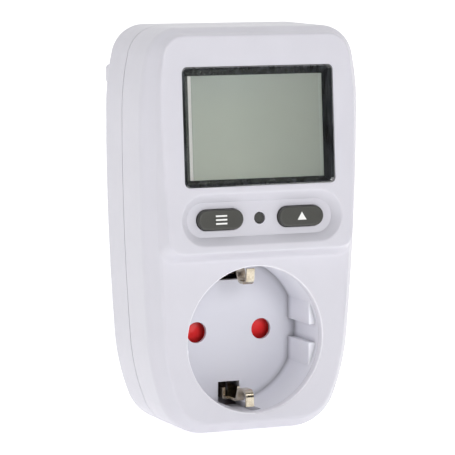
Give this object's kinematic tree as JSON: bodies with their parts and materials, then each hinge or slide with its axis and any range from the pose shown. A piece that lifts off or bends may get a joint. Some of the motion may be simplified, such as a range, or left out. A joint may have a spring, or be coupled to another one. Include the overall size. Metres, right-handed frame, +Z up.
{
  "type": "plug in power meter",
  "caption": "Plug-in energy meter: white two-part case with a tilted display panel, grey keys, an earthed outlet well with a pin shutter on the front and an earthed two-pin plug on the back.",
  "frame": {"origin": "centre of the plug's engagement face, the flat face that meets the wall socket, midway between the two plug pins", "axes": "+Y into the wall along the plug pins, +Z up along the height of the meter, +X to the right of a person who reads the display; the display and the outlet well face -Y"},
  "size_m": [0.0626, 0.0704, 0.1072],
  "materials": {
    "body_plastic": "fine satin moulded",
    "well_plastic": "fine satin moulded",
    "inner_plastic": "natural moulded",
    "red_plastic": "satin moulded",
    "key_grey": "satin moulded",
    "bezel_black": "gloss",
    "clear_window": "polished clear plastic",
    "lcd_glass": "polished",
    "polariser": "film",
    "reflector": "matt film",
    "strip_rubber": "moulded",
    "nickel_plate": "satin nickel plate",
    "brass": "stamped",
    "manganin": "rolled strip",
    "spring_steel": "drawn wire",
    "screw_steel": "zinc plated",
    "blue_insulation": "extruded",
    "brown_insulation": "extruded",
    "white_insulation": "extruded",
    "ribbon": "extruded flat cable",
    "circuit_board": "solder mask",
    "capacitor_yellow": "moulded",
    "capacitor_sleeve": "shrink sleeve",
    "varistor_blue": "dipped lacquer",
    "resistor_body": "cement coated",
    "chip_black": "moulded",
    "switch_body": "moulded",
    "crystal_can": "drawn can",
    "cell_sleeve": "shrink sleeve",
    "label_film": "silvery film"
  },
  "bodies": {
    "housing": {"front_case": "body_plastic", "rear_case": "body_plastic", "socket_well": "well_plastic", "shutter_spring": "spring_steel", "contact_carrier": "inner_plastic", "live_socket_contact": "brass", "neutral_socket_contact": "brass", "live_pin": "nickel_plate", "neutral_pin": "nickel_plate", "neutral_link": "brass", "shunt": "manganin", "socket_earth_strap": "nickel_plate", "plug_earth_strap": "nickel_plate", "earth_rivet": "brass", "neutral_wire": "blue_insulation", "supply_wire": "brown_insulation", "sense_wire": "white_insulation", "main_board": "circuit_board", "film_capacitor": "capacitor_yellow", "smoothing_capacitor": "capacitor_sleeve", "varistor": "varistor_blue", "fusible_resistor": "resistor_body", "bridge_rectifier": "chip_black", "metering_chip": "chip_black", "crystal": "crystal_can", "backup_cells": "cell_sleeve", "control_board": "circuit_board", "display_driver": "chip_black", "key_switches": "switch_body", "ribbon_cable": "ribbon", "display_lens": "clear_window", "display_bezel": "bezel_black", "front_polariser": "polariser", "lcd_glass": "lcd_glass", "rear_reflector": "reflector", "lcd_holder": "inner_plastic", "contact_strip": "strip_rubber", "rating_label": "label_film", "case_screws": "screw_steel", "well_screws": "screw_steel", "carrier_screws": "screw_steel", "main_board_screws": "screw_steel", "control_board_screws": "screw_steel"},
    "mode_key": {"mode_button": "key_grey", "mode_plunger": "chip_black"},
    "up_key": {"up_button": "key_grey", "up_plunger": "chip_black"},
    "reset_key": {"reset_button": "key_grey", "reset_plunger": "chip_black"},
    "pin_shutter": {"shutter": "red_plastic"}
  },
  "joints": [
    {"name": "mode_press", "type": "slide", "parent": "housing", "child": "mode_key", "axis": [0, 0.9969, -0.0785], "range_m": [0, 0.0005], "stiffness_N_per_m": 2500, "springref_m": -0.0001},
    {"name": "up_press", "type": "slide", "parent": "housing", "child": "up_key", "axis": [0, 0.9969, -0.0785], "range_m": [0, 0.0005], "stiffness_N_per_m": 2500, "springref_m": -0.0001},
    {"name": "reset_press", "type": "slide", "parent": "housing", "child": "reset_key", "axis": [0, 0.9969, -0.0785], "range_m": [0, 0.0005], "stiffness_N_per_m": 2500, "springref_m": -0.0001},
    {"name": "shutter_slide", "type": "slide", "parent": "housing", "child": "pin_shutter", "axis": [0, 0, 1], "range_m": [0, 0.0064], "stiffness_N_per_m": 150, "springref_m": -0.003, "deforming": ["shutter_spring"]}
  ]
}
